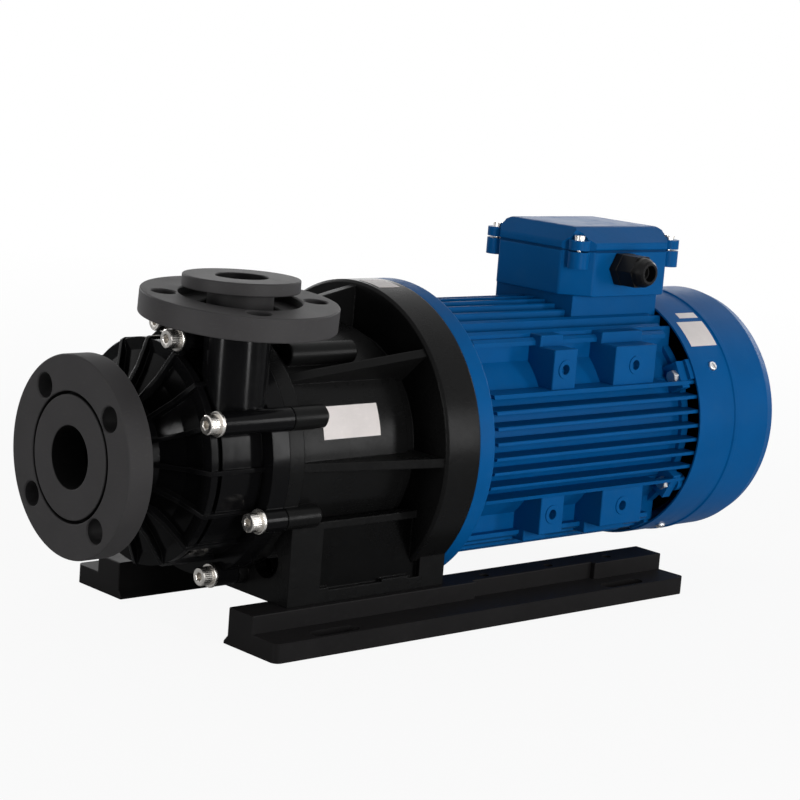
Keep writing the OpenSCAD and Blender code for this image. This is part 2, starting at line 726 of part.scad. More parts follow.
// Pan head screws that hold the cowl to the shield lugs
module cowl_screws() {
    color([0.75, 0.75, 0.75]) at_pump() for (a = cowl_a) around(a, cowl_r) translate([x_cowl_screw, 0, 0]) rotate([-90, 0, 0]) {
        cylinder(h = 12, r = 2);
        translate([0, 0, -2.8]) cylinder(h = 2.8, r = 4.2);
    }
}

// Outline of the box seen from above: a rectangle with four cut corners
module box_outline(e) {
    polygon([[box_x0 + e, -box_y + box_cut], [box_x0 + box_cut, -box_y + e], [box_x1 - box_cut, -box_y + e],
        [box_x1 - e, -box_y + box_cut], [box_x1 - e, box_y - box_cut], [box_x1 - box_cut, box_y - e],
        [box_x0 + box_cut, box_y - e], [box_x0 + e, box_y - box_cut]]);
}

// Terminal box body with corner ears, wire opening and gland hole
module terminal_box() {
    color([0.02, 0.2, 0.43]) at_pump() difference() {
        union() {
            translate([0, 0, box_z0]) linear_extrude(height = box_z1 - box_z0) box_outline(0);
            for (p = ear_xy) translate([p[0], p[1], box_z0 + 24]) cylinder(h = box_z1 - box_z0 - 24, r = 9);
        }
        translate([0, 0, box_z0 + 5]) linear_extrude(height = box_z1) box_outline(box_wall);
        translate([519, 0, box_z0 - 1]) cylinder(h = 8, r = 22);
        translate([gland_x, -box_y - 1, gland_z]) rotate([-90, 0, 0]) cylinder(h = 8, r = gland_r);
        for (p = ear_xy) translate([p[0], p[1], box_z1 - 12]) cylinder(h = 13, r = 2);
    }
}

// Moulded board that carries the terminals
module terminal_board() {
    color([0.15, 0.1, 0.08]) at_pump() translate([548, -26, box_z0 + 5]) cube([30, 52, 10]);
}

// Brass terminal studs with nuts, in two rows of three
module terminal_studs() {
    color([0.78, 0.6, 0.25]) at_pump() for (x = [556, 570], y = [-17, 0, 17]) translate([x, y, box_z0 + 15]) {
        cylinder(h = 14, r = 2);
        linear_extrude(height = 3) circle(r = 4, $fn = 6);
    }
}

// Flat gasket under the lid
module lid_gasket() {
    color([0.08, 0.08, 0.08]) at_pump() translate([0, 0, box_z1]) linear_extrude(height = seal_t) difference() {
        box_outline(0.5);
        box_outline(box_wall);
    }
}

// Lid with a bevelled top and four corner ears
module terminal_box_lid() {
    z0 = box_z1 + seal_t;
    color([0.03, 0.22, 0.46]) at_pump() difference() {
        union() {
            intersection() {
                translate([0, 0, z0]) linear_extrude(height = lid_z1 - z0) box_outline(0);
                translate([0, 80, 0]) rotate([90, 0, 0]) linear_extrude(height = 160) polygon([[box_x0, z0], [box_x0, z0 + 6],
                    [box_x0 + 14, lid_z1], [box_x1 - 16, lid_z1], [box_x1, z0 + 6], [box_x1, z0]]);
                along(box_x0 - 1, 140) polygon([[-box_y, z0], [-box_y, z0 + 6], [-box_y + 20, lid_z1],
                    [box_y - 20, lid_z1], [box_y, z0 + 6], [box_y, z0]]);
            }
            for (p = ear_xy) translate([p[0], p[1], z0]) cylinder(h = 8, r = 9);
        }
        translate([0, 0, z0 - 1]) linear_extrude(height = 5) box_outline(box_wall);
        for (p = ear_xy) translate([p[0], p[1], z0 - 1]) cylinder(h = 10, r = 2.3);
        for (p = ear_xy) translate([p[0], p[1], z0 + 8]) cylinder(h = 20, r = 7);
    }
}

// Screws in the four ears of the lid
module lid_screws() {
    z0 = box_z1 + seal_t + 8;
    color([0.75, 0.75, 0.75]) at_pump() for (p = ear_xy) translate([p[0], p[1], 0]) {
        translate([0, 0, z0 - 20]) cylinder(h = 20, r = 2);
        difference() {
            translate([0, 0, z0]) cylinder(h = 4, r = 4.5);
            translate([-6, -0.6, z0 + 2.8]) cube([12, 1.2, 3]);
        }
    }
}

// Cable gland on the near wall of the box: body with a hex and a thread through the wall
module gland_body() {
    color([0.04, 0.04, 0.045]) at_pump() translate([gland_x, -box_y, gland_z]) rotate([90, 0, 0]) difference() {
        union() {
            translate([0, 0, -14]) cylinder(h = 15, r = gland_r);
            linear_extrude(height = 8) circle(r = 15.5, $fn = 6);
            translate([0, 0, 8]) cylinder(h = 14, r = 11);
        }
        translate([0, 0, -15]) cylinder(h = 23, r = 7);
        translate([0, 0, 8]) cylinder(h = 15, r = 8.5);
    }
}

// Flat nut inside the box that holds the gland
module gland_locknut() {
    color([0.05, 0.05, 0.055]) at_pump() translate([gland_x, -box_y + box_wall, gland_z]) rotate([-90, 0, 0])
        linear_extrude(height = 5) difference() {
            circle(r = 14.5, $fn = 6);
            circle(r = gland_r);
        }
}

// Rubber sleeve inside the gland, empty here
module gland_seal() {
    color([0.12, 0.12, 0.12]) at_pump() translate([gland_x, -box_y - 8, gland_z]) rotate([90, 0, 0]) difference() {
        cylinder(h = 18, r = 8.5);
        translate([0, 0, -1]) cylinder(h = 20, r = 5.5);
    }
}

// Dome nut of the gland
module gland_dome_nut() {
    color([0.04, 0.04, 0.045]) at_pump() translate([gland_x, -box_y - 8, gland_z]) rotate([90, 0, 0]) difference() {
        union() {
            linear_extrude(height = 16) circle(r = 15, $fn = 6);
            translate([0, 0, 16]) rotate_extrude() polygon([[0, 0], [12.8, 0], [12.4, 4], [10.5, 8], [9, 9.5], [0, 9.5]]);
        }
        translate([0, 0, -1]) cylinder(h = 15, r = 11);
        translate([0, 0, 13]) cylinder(h = 5, r = 8.5);
        translate([0, 0, 17]) cylinder(h = 12, r = 7);
    }
}

suction_ring_flange();
suction_stub_end();
front_casing();
discharge_stub_end();
discharge_ring_flange();
casing_gasket();
rear_casing();
pump_spindle();
front_thrust_ring();
casing_liner_ring();
impeller();
bearing_bush();
inner_magnet();
outer_magnet_hub();
outer_magnets();
hub_key();
bracket();
casing_bolts();
casing_washers();
base_rail_near();
base_rail_far();
base_bolts();
drive_end_shield();
flange_bolts();
shaft_seal();
motor_frame();
stator_core();
stator_windings();
motor_shaft();
rotor_core();
drive_bearing_outer();
drive_bearing_inner();
rear_bearing_outer();
rear_bearing_inner();
rear_end_shield();
shield_bolts();
cooling_fan();
fan_circlip();
fan_cowl();
cowl_screws();
terminal_box();
terminal_board();
terminal_studs();
lid_gasket();
terminal_box_lid();
lid_screws();
gland_body();
gland_locknut();
gland_seal();
gland_dome_nut();
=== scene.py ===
import math

import bmesh
import bpy
from mathutils import Matrix, Vector


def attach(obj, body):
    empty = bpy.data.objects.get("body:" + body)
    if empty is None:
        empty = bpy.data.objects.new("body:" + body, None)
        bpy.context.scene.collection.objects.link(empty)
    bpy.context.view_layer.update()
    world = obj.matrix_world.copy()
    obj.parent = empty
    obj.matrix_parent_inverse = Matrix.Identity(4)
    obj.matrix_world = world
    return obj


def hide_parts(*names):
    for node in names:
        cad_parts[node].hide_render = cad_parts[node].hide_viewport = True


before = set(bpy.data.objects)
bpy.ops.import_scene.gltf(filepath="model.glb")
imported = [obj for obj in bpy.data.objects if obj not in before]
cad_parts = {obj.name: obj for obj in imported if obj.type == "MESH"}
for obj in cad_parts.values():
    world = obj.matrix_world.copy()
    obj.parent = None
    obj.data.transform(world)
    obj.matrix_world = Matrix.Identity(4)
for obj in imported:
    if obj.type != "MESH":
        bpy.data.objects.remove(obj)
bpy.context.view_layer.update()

# Camera: a long lens stands before the suction side, a little above the shaft, leaning a few degrees.
# The picture is taken to be 800 by 800, so 2204 points of lens make 99.19 mm on a 36 mm sensor.
look = Vector((0.66915, 0.72370, -0.16881)).normalized()
lean = math.radians(4.5258)
level_right = look.cross(Vector((0, 0, 1))).normalized()
level_up = level_right.cross(look)
picture_right = level_right * math.cos(lean) + level_up * math.sin(lean)
picture_up = level_up * math.cos(lean) - level_right * math.sin(lean)
camera = bpy.data.objects.new("camera", bpy.data.cameras.new("camera"))
camera.data.lens = 99.19
camera.data.sensor_width = 36
camera.matrix_world = Matrix((picture_right, picture_up, -look)).transposed().to_4x4()
camera.location = (-1.2185, -1.3162, 0.4672)
bpy.context.scene.collection.objects.link(camera)
bpy.context.scene.camera = camera


# Base rails: two stepped bars of black plastic that carry the bracket, moulded in one piece each.
# Each has two long anchor slots in its low flange and tapped holes in its high step.
# They lie on the floor, with their undersides flat.
class Wire:
    """One output of a node in a finish. Maths on wires adds Math nodes to the same finish."""

    def __init__(self, finish, socket):
        self.finish = finish
        self.socket = socket

    def maths(self, operation, first, second=0.0):
        return self.finish.node("ShaderNodeMath", {"operation": operation}, {0: first, 1: second})

    def __add__(self, other):
        return self.maths("ADD", self, other)

    def __radd__(self, other):
        return self.maths("ADD", other, self)

    def __sub__(self, other):
        return self.maths("SUBTRACT", self, other)

    def __rsub__(self, other):
        return self.maths("SUBTRACT", other, self)

    def __mul__(self, other):
        return self.maths("MULTIPLY", self, other)

    def __rmul__(self, other):
        return self.maths("MULTIPLY", other, self)

    def __lt__(self, other):
        return self.maths("LESS_THAN", self, other)

    def __gt__(self, other):
        return self.maths("GREATER_THAN", self, other)

    def __abs__(self):
        return self.maths("ABSOLUTE", self)


class Finish:
    """A material with one main shader. Constant values go on the shader's own sockets."""

    def __init__(self, name, **constants):
        self.material = bpy.data.materials.new(name)
        self.material.use_nodes = True
        self.tree = self.material.node_tree
        self.shader = self.tree.nodes["Principled BSDF"]
        for key, value in constants.items():
            socket = key.replace("_", " ").title().replace("Ior", "IOR")
            self.shader.inputs[socket].default_value = value

    def node(self, kind, settings=None, sockets=None, out=0):
        """Adds a node: first its settings, then the values or wires of its sockets. Gives one output."""
        made = self.tree.nodes.new(kind)
        for key, value in (settings or {}).items():
            if key == "stops":
                for stop, (place, level) in zip(made.color_ramp.elements, value):
                    stop.position = place
                    stop.color = (level, level, level, 1)
            else:
                setattr(made, key, value)
        for key, value in (sockets or {}).items():
            if isinstance(value, Wire):
                self.tree.links.new(value.socket, made.inputs[key])
            else:
                made.inputs[key].default_value = value
        return Wire(self, made.outputs[out])

    def feed(self, socket, wire):
        self.tree.links.new(wire.socket, self.shader.inputs[socket])

    def noise(self, scale, detail, stretch=(1, 1, 1), turn=(0, 0, 0)):
        where = self.node("ShaderNodeTexCoord", out="Object")
        mapping = {"Vector": where, "Scale": stretch, "Rotation": turn}
        placed = self.node("ShaderNodeMapping", {}, mapping)
        sockets = {"Vector": placed, "Scale": scale, "Detail": detail, "Roughness": 0.55}
        return self.node("ShaderNodeTexNoise", {}, sockets)

    def ramp(self, wire, low, high):
        return self.node("ShaderNodeValToRGB", {"stops": [(low, 0.0), (high, 1.0)]}, {"Fac": wire})

    def blend(self, share, first, second):
        return self.node("ShaderNodeMix", {"data_type": "RGBA"}, {0: share, 6: first, 7: second}, out=2)

    def round_edges(self, radius):
        return self.node("ShaderNodeBevel", {"samples": 4}, {"Radius": radius})

    def bump(self, height, strength, distance, under=None):
        sockets = {"Height": height, "Strength": strength, "Distance": distance}
        if under:
            sockets["Normal"] = under
        return self.node("ShaderNodeBump", {}, sockets)


def shade(colour, factor):
    """The same colour, lighter or darker, as a shader colour."""
    return (colour[0] * factor, colour[1] * factor, colour[2] * factor, 1)


def moulded(name, colour, gloss, grain, edge=0.0, mirror=0.12, rubbed=0.25, painted_shade=None):
    """Moulded plastic: cloudy colour, fine rub lines, a fine grain and a slow sink wave.

    Where a mask of painted shade is given, most of the colour is taken away there to stand for shadow."""
    made = Finish(name, specular_ior_level=mirror)
    cloud = made.noise(26, 5)
    rubs = made.ramp(made.noise(160, 6, (1, 7, 2), (0.2, 0.3, 0.5)), 0.56, 0.74)
    tone = made.blend(cloud, shade(colour, 0.78), shade(colour, 1.24))
    coat = made.blend(rubs * rubbed, tone, shade(colour, 2.1))
    # Painted shade: inside the mask the colour is made much darker, to stand for shadow.
    if painted_shade:
        coat = made.blend(painted_shade(made), coat, shade(colour, 0.1))
    made.feed("Base Color", coat)
    made.feed("Roughness", made.ramp(cloud, 0.3, 0.75) * 0.1 + gloss + rubs * 0.1)
    soft_edge = made.round_edges(edge) if edge else None
    wave = made.bump(made.noise(55, 2), 0.08, 0.0012, soft_edge)
    made.feed("Normal", made.bump(made.noise(1500, 2), grain, 0.00012, wave))
    return made


def fresh():
    """Leaves edit mode and selects nothing."""
    if bpy.context.object and bpy.context.object.mode != "OBJECT":
        bpy.ops.object.mode_set(mode="OBJECT")
    bpy.ops.object.select_all(action="DESELECT")


def take(piece):
    """Makes one piece the only selected and the active one."""
    fresh()
    piece.select_set(True)
    bpy.context.view_layer.objects.active = piece


def settle(piece, finish, body, slot, *nodes, smooth=32):
    """Gives a finished piece its shading, material and body, and hides the solids it replaces. The slot
    is not used.
    """
    take(piece)
    bpy.ops.object.transform_apply(location=True, rotation=True, scale=True)
    bpy.ops.object.shade_smooth_by_angle(angle=math.radians(smooth))
    even = piece.modifiers.new("even", "WEIGHTED_NORMAL")
    even.keep_sharp = True
    even.weight = 80
    bpy.ops.object.modifier_apply(modifier="even")
    piece.data.materials.clear()
    piece.data.materials.append(finish.material)
    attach(piece, body)
    if nodes:
        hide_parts(*nodes)


def choose(piece, kind, test):
    """In edit mode, selects only the faces, edges or corners that pass a test."""
    shape = bmesh.from_edit_mesh(piece.data)
    bpy.context.tool_settings.mesh_select_mode = (kind == "verts", kind == "edges", kind == "faces")
    for group in (shape.verts, shape.edges, shape.faces):
        for part in group:
            part.select = False
    for part in getattr(shape, kind):
        if test(part):
            part.select_set(True)
    shape.select_flush_mode()
    bmesh.update_edit_mesh(piece.data)


def softened(name, node, radius, shortest=0.0, spared=None):
    """A copy of a solid with its corners merged, its flat faces joined and its outer edges rounded.

    Edges that are shorter than the shortest, or whose middle is in a spared place, stay sharp."""
    piece = bpy.data.objects.new(name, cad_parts[node].data.copy())
    bpy.context.scene.collection.objects.link(piece)
    take(piece)
    bpy.ops.mesh.customdata_custom_splitnormals_clear()
    bpy.ops.object.mode_set(mode="EDIT")
    bpy.ops.mesh.select_all(action="SELECT")
    bpy.ops.mesh.remove_doubles(threshold=0.000002)
    bpy.ops.mesh.dissolve_limited(angle_limit=math.radians(0.4))
    sharpest_kept = math.radians(32)

    def is_outer(edge):
        if len(edge.link_faces) != 2 or edge.calc_face_angle_signed(0) < sharpest_kept:
            return False
        middle = (edge.verts[0].co + edge.verts[1].co) / 2
        return edge.calc_length() > shortest and not (spared and spared(middle))

    choose(piece, "edges", is_outer)
    bpy.ops.mesh.bevel(offset=radius, segments=3, affect="EDGES", clamp_overlap=False)
    bpy.ops.object.mode_set(mode="OBJECT")
    return piece


slot_inner, slot_outer = 0.112, 0.13
slots_middle, slots_reach = 0.003, 0.222


def under_or_slot(spot):
    """The rails' undersides and the rims of their anchor slots."""
    in_slot = slot_inner < abs(spot.y) < slot_outer and abs(spot.x - slots_middle) < slots_reach
    return spot.z < 0.0005 or in_slot


rail_black = moulded("rail_black", (0.0085, 0.008, 0.0082), 0.42, 0.25, mirror=0.06)
for side in ("near", "far"):
    node = "base_rail_" + side
    rail = softened("rail_" + side, node, radius=0.0011, shortest=0.0012, spared=under_or_slot)
    settle(rail, rail_black, "pump", "rail_plastic", node)


# Bracket: one large moulding in black plastic that joins the wet end to the motor.
# It has a barrel, a thick disc, ribs, screw bosses and a hollow pedestal with a sunk panel in each side.
# It stands on the rails and is screwed down inside its feet.
panel_middle = (-0.1055, 0.091, 0.063)
panel_reach = (0.0512, 0.0006, 0.0242)


def painted_panel_shade(made):
    """A mask of the sunk panels in both sides of the pedestal, where shade is painted into the colour.
    """
    where = made.node("ShaderNodeTexCoord", out="Object")
    along, aside, up = [made.node("ShaderNodeSeparateXYZ", {}, {0: where}, out=i) for i in range(3)]
    in_length = abs(along - panel_middle[0]) < panel_reach[0]
    in_depth = abs(abs(aside) - panel_middle[1]) < panel_reach[1]
    in_height = abs(up - panel_middle[2]) < panel_reach[2]
    return in_length * in_depth * in_height


def dress(finish, *nodes):
    """Puts a finish on solids that keep their own shape."""
    for node in nodes:
        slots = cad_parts[node].data.materials
        slots.clear()
        slots.append(finish.material)


# The pedestal's sunk panels get painted shade: their colour is darkened to stand for the deep shadow in
# them.
bracket_black = moulded("bracket_black", (0.005, 0.005, 0.005), 0.24, 0.12, edge=0.0014, mirror=0.065,
                        painted_shade=painted_panel_shade)
dress(bracket_black, "bracket")


# Foot screws: four zinc plated hex screws stand inside the pedestal and pull its feet on the rails.
# The heads are forged with a turned chamfer, so their corners are cut round.
def metal(name, colour, gloss, lines=(1, 1, 9), scale=300.0):
    """Worked metal: fine drawn lines in the gloss, small stains and a slow tone change."""
    made = Finish(name, metallic=1.0)
    drawn = made.noise(scale, 4, lines)
    stain = made.ramp(made.noise(90, 5), 0.48, 0.8)
    tone = made.blend(stain * 0.55, shade(colour, 1.08), shade(colour, 0.7))
    made.feed("Base Color", tone)
    made.feed("Roughness", drawn * 0.16 + gloss + stain * 0.14)
    made.feed("Normal", made.bump(drawn, 0.12, 0.0001))
    return made


def joined(pieces):
    """Joins pieces to the first of them."""
    fresh()
    for piece in pieces:
        piece.select_set(True)
    bpy.context.view_layer.objects.active = pieces[0]
    bpy.ops.object.join()
    return pieces[0]


def copies(piece, places):
    """Puts a copy of a modelled piece at each place, each with its own mesh, and joins them all."""
    made = []
    for place in places:
        twin = piece.copy()
        twin.data = piece.data.copy()
        twin.matrix_world = place @ piece.matrix_world
        bpy.context.scene.collection.objects.link(twin)
        made.append(twin)
    name = piece.name
    bpy.data.objects.remove(piece)
    whole = joined(made)
    bpy.ops.object.transform_apply(location=True, rotation=True, scale=True)
    whole.name = name
    return whole


def outward(piece):
    """Turns all faces of a piece outwards."""
    take(piece)
    bpy.ops.object.mode_set(mode="EDIT")
    bpy.ops.mesh.select_all(action="SELECT")
    bpy.ops.mesh.normals_make_consistent(inside=False)
    bpy.ops.object.mode_set(mode="OBJECT")


def rounded(piece, radius):
    """Rounds the sharp edges of a modelled piece."""
    take(piece)
    edge = piece.modifiers.new("edge", "BEVEL")
    edge.width = radius
    edge.segments = 3
    edge.limit_method = "ANGLE"
    edge.angle_limit = math.radians(40)
    bpy.ops.object.modifier_apply(modifier="edge")
    return piece


def turned(name, outline, edge=0.0, steps=128):
    """Spins an outline of (radius, height) points in millimetres round Z and rounds its edges.

    The outline is closed, unless it starts on the axis, where it then also ends."""
    points = [(radius / 1000, 0, height / 1000) for radius, height in outline]
    sides = [(i, i + 1) for i in range(len(points) - 1)]
    if outline[0][0] > 0:
        sides.append((len(points) - 1, 0))
    shape = bpy.data.meshes.new(name)
    shape.from_pydata(points, sides, [])
    piece = bpy.data.objects.new(name, shape)
    bpy.context.scene.collection.objects.link(piece)
    take(piece)
    bpy.ops.object.mode_set(mode="EDIT")
    bpy.ops.mesh.select_all(action="SELECT")
    bpy.ops.mesh.spin(steps=steps, angle=math.tau, center=(0, 0, 0), axis=(0, 0, 1))
    bpy.ops.mesh.select_all(action="SELECT")
    bpy.ops.mesh.remove_doubles(threshold=0.00001)
    outward(piece)
    return rounded(piece, edge) if edge else piece


def hexagon(piece, test, flat):
    """Pulls the chosen ring of corners to a hexagon with this half width across its flats."""
    for corner in piece.data.vertices:
        if test(corner.co):
            turn = math.atan2(corner.co.y, corner.co.x)
            step = (turn + math.pi / 6) % (math.pi / 3) - math.pi / 6
            corner.co.x = flat / math.cos(step) * math.cos(turn)
            corner.co.y = flat / math.cos(step) * math.sin(turn)


def hex_screw(name, across, head, shank, length):
    """A hex screw, sizes in millimetres, with its head's seat at the origin and its head towards +X."""
    flat = across / 2
    top = flat * 0.92
    tip = shank * 0.2
    outline = [(0, head), (top, head), (flat, head - 0.01), (flat, 0), (shank, 0),
               (shank, tip - length), (shank - tip, -length), (0, -length)]
    piece = turned(name, outline, steps=96)
    sides_from = flat * 0.95 / 1000
    hexagon(piece, lambda spot: spot.xy.length > sides_from, flat / 1000)
    for corner in piece.data.vertices:
        reach = corner.co.xy.length
        if corner.co.z > head / 2000 and reach > sides_from:
            corner.co.z = head / 1000 - (reach - top / 1000) * math.tan(math.radians(30))
    piece.data.transform(Matrix.Rotation(math.pi / 2, 4, "Y"))
    return piece


face_to_origin = 324.5
shaft_height = 136


def at(x, y, z):
    """A point given in millimetres from the suction face, the shaft's plane and the shaft's height."""
    return Vector(((x - face_to_origin) / 1000, y / 1000, (z + shaft_height) / 1000))


zinc = metal("zinc_plate", (0.55, 0.55, 0.56), 0.26)
foot_seat = -95
foot_rows = (163, 245)
foot_sides = (-77, 77)
head_up = Matrix.Rotation(-math.pi / 2, 4, "Y")
foot_places = [Matrix.Translation(at(x, y, foot_seat)) @ head_up for x in foot_rows for y in foot_sides]
foot_screw = hex_screw("foot_screws", across=13, head=5.5, shank=4, length=32)
settle(copies(foot_screw, foot_places), zinc, "pump", "steel", "base_bolts", smooth=25)


# Inside the wet end: a sealed plastic can, a ceramic spindle and rings, and the impeller with its bush.
# They are pressed or laid together before the front casing closes over them.
# They are hidden, or deep in the suction bore, so their solids keep their shapes.
def ceramic(name, colour):
    """Ground ceramic: nearly even colour with pale specks and a fine ground surface."""
    made = Finish(name)
    speck = made.ramp(made.noise(700, 2), 0.55, 0.7)
    made.feed("Base Color", made.blend(speck * 0.3, shade(colour, 1.0), shade(colour, 0.8)))
    made.feed("Roughness", speck * 0.15 + 0.22)
    made.feed("Normal", made.bump(made.noise(900, 3, (1, 12, 12)), 0.08, 0.0001))
    return made


wet_black = moulded("wet_black", (0.007, 0.007, 0.0075), 0.34, 0.2)
seal_black = moulded("seal_rubber", (0.014, 0.014, 0.014), 0.68, 0.4)
white_ceramic = ceramic("white_ceramic", (0.8, 0.78, 0.72))
dress(wet_black, "rear_casing", "impeller")
dress(seal_black, "casing_gasket", "shaft_seal")
dress(white_ceramic, "pump_spindle", "front_thrust_ring", "casing_liner_ring")
dress(ceramic("bush_carbon", (0.035, 0.035, 0.038)), "bearing_bush")
dress(metal("magnet_skin", (0.3, 0.3, 0.32), 0.3), "inner_magnet", "outer_magnets")
dress(metal("cast_hub_iron", (0.22, 0.22, 0.23), 0.48, (1, 1, 1), 420.0), "outer_magnet_hub")
dress(metal("key_steel", (0.45, 0.45, 0.46), 0.3), "hub_key")


# Front casing: a ribbed bowl with the pump chamber, moulded in shiny black plastic with screw bosses.
# The outlet neck leaves it on a tangent at the near side; eight screws pull it on the bracket.
casing_black = moulded("casing_black", (0.0035, 0.0035, 0.0038), 0.12, 0.05, edge=0.0012, mirror=0.065,
                       rubbed=0.1)
dress(casing_black, "front_casing")


# Casing screws: eight stainless socket head screws with knurled heads, and plain washers under them.
# They run through the casing into the bracket. The two beside the outlet sit further forward.
screw_circle = 99
screw_tip = 156
upper_head, upper_row = 52.5, (22.5, 67.5)
lower_head, lower_row = 96.5, (-22.5, -67.5, -112.5, -157.5, 157.5, 112.5)
head_radius, head_height = 0.00725, 0.009
shank_radius = 0.004
knurls = 72
washer_thick = 0.0025


def socket_screw(name, head_place):
    """A knurled socket head screw along the shaft, its head's top at the origin, to the suction side."""
    rim, mouth = 0.0008, 0.0039
    socket_depth, socket_flat = 0.0046, 0.003
    fresh()
    bpy.ops.mesh.primitive_cylinder_add(vertices=knurls, radius=head_radius, depth=head_height)
    piece = bpy.context.object
    piece.name = name
    bpy.ops.object.mode_set(mode="EDIT")
    choose(piece, "faces", lambda face: face.normal.z > 0.9)
    bpy.ops.mesh.inset(thickness=rim, depth=0)
    bpy.ops.mesh.inset(thickness=head_radius - rim - mouth, depth=0)
    bpy.ops.mesh.inset(thickness=0.0003, depth=-0.0004)
    bpy.ops.mesh.extrude_region_move(TRANSFORM_OT_translate={"value": (0, 0, -socket_depth)})
    bpy.ops.mesh.inset(thickness=0.0015, depth=-0.0008)
    choose(piece, "faces", lambda face: face.normal.z < -0.9)
    bpy.ops.mesh.inset(thickness=head_radius - shank_radius, depth=0)
    length = (screw_tip - head_place) / 1000 - head_height
    bpy.ops.mesh.extrude_region_move(TRANSFORM_OT_translate={"value": (0, 0, -length)})
    bpy.ops.object.mode_set(mode="OBJECT")

    def in_socket(spot):
        return 0.002 < spot.xy.length < 0.0038 and spot.z > -head_height / 2

    hexagon(piece, in_socket, socket_flat)
    for corner in piece.data.vertices:
        if corner.co.xy.length > head_radius * 0.99:
            groove = round(math.atan2(corner.co.y, corner.co.x) / math.tau * knurls) % 2
            pull = 0.975 if groove else 1.0
            corner.co.x *= pull
            corner.co.y *= pull
            if corner.co.z > 0:
                corner.co.z -= 0.0007
    turn = Matrix.Rotation(-math.pi / 2, 4, "Y")
    piece.data.transform(turn @ Matrix.Translation((0, 0, -head_height / 2)))
    return piece


def washer(name, outer, inner, thick):
    """A stamped washer on the shaft's line with a rounded rim, its back face at the origin."""
    fresh()
    bpy.ops.mesh.primitive_cylinder_add(vertices=64, radius=outer, depth=thick,
                                        location=(0, 0, thick / 2))
    piece = bpy.context.object
    piece.name = name
    bpy.ops.object.transform_apply(location=True, rotation=True, scale=True)
    bpy.ops.object.mode_set(mode="EDIT")
    choose(piece, "faces", lambda face: abs(face.normal.z) > 0.9)
    bpy.ops.mesh.inset(thickness=outer - inner, depth=0)
    bpy.ops.mesh.bridge_edge_loops()

    def on_rim(edge):
        one, two = edge.verts
        at_edge = all(abs(corner.co.xy.length - outer) < 1e-6 for corner in edge.verts)
        return at_edge and one.co.z == two.co.z

    choose(piece, "edges", on_rim)
    bpy.ops.mesh.bevel(offset=thick * 0.3, segments=3, affect="EDGES")
    outward(piece)
    piece.data.transform(Matrix.Rotation(-math.pi / 2, 4, "Y"))
    return piece


def round_shaft(x, angle, radius):
    """The place at an angle round the shaft, 0 on the near side and 90 on top."""
    turn = Matrix.Rotation(-math.radians(angle), 4, "X")
    return Matrix.Translation(at(x, 0, 0)) @ turn @ Matrix.Translation((0, -radius / 1000, 0))


def screw_places(x, row):
    """The places of a row of casing screws at one place along the shaft."""
    return [round_shaft(x, angle, screw_circle) for angle in row]


stainless = metal("stainless", (0.74, 0.71, 0.67), 0.16, (1, 8, 8), 240.0)
upper_screws = copies(socket_screw("upper_screws", upper_head), screw_places(upper_head, upper_row))
settle(upper_screws, stainless, "pump", "stainless", "casing_bolts", smooth=28)
lower_screws = copies(socket_screw("lower_screws", lower_head), screw_places(lower_head, lower_row))
settle(lower_screws, stainless, "pump", "stainless", smooth=28)
to_seat = (head_height + washer_thick) * 1000
seats = screw_places(upper_head + to_seat, upper_row) + screw_places(lower_head + to_seat, lower_row)
washers = copies(washer("casing_screw_washers", 0.0095, 0.0043, washer_thick), seats)
settle(washers, stainless, "pump", "stainless", "casing_washers", smooth=40)


# Suction side: a stub end of charcoal plastic is fused into the casing's nose, and a loose ring turns
# behind its collar. Both are machined, so their faces show fine turning marks.
# The ring has four bolt holes.
def machined(name, colour, gloss, direction, centre, bore):
    """Machined plastic: turning marks round an axis, mottled colour and handling marks, with painted
    shade in holes, gaps and the bore.
    """
    made = Finish(name, specular_ior_level=0.1)
    where = made.node("ShaderNodeTexCoord", out="Object")
    to_centre = tuple(-c for c in centre)
    centred = made.node("ShaderNodeMapping", {}, {"Vector": where, "Location": to_centre})
    marks = made.node("ShaderNodeTexWave", {"wave_type": "RINGS", "rings_direction": direction},
                      {"Vector": centred, "Scale": 260.0, "Distortion": 0.6, "Detail": 1.0}, out="Fac")
    cloud = made.noise(34, 5)
    rubs = made.ramp(made.noise(120, 6, (2, 1, 6), (0.4, 0.1, 0.7)), 0.57, 0.76)
    tone = made.blend(cloud, shade(colour, 0.82), shade(colour, 1.2))
    handled = made.blend(rubs * 0.3, tone, shade(colour, 1.9))
    # Painted shade: where the surface is closed in, in holes and gaps between parts, the colour is
    # darkened to stand for shade.
    nearby = made.node("ShaderNodeAmbientOcclusion", {"samples": 6}, {"Distance": 0.014}, out="AO")
    hollow_shaded = made.blend(made.ramp(nearby, 0.3, 0.9), shade(colour, 0.15), handled)
    # Painted shade: inside the bore the colour is made nearly black, to stand for the shadow in it.
    across = (0, 1, 1) if direction == "X" else (1, 1, 0)
    spoke = made.node("ShaderNodeVectorMath", {"operation": "MULTIPLY"}, {0: centred, 1: across})
    reach = made.node("ShaderNodeVectorMath", {"operation": "LENGTH"}, {0: spoke}, out="Value")
    made.feed("Base Color", made.blend(reach < bore / 1000, hollow_shaded, shade(colour, 0.1)))
    made.feed("Roughness", cloud * 0.16 + gloss + rubs * 0.08)
    grain = made.bump(made.noise(1300, 2), 0.22, 0.00012)
    made.feed("Normal", made.bump(marks, 0.1, 0.00012, grain))
    return made


def carved(piece, tool):
    """Cuts a tool out of a piece and deletes the tool."""
    take(piece)
    cut = piece.modifiers.new("carve", "BOOLEAN")
    cut.object = tool
    cut.solver = "EXACT"
    bpy.ops.object.modifier_apply(modifier="carve")
    bpy.data.objects.remove(tool)


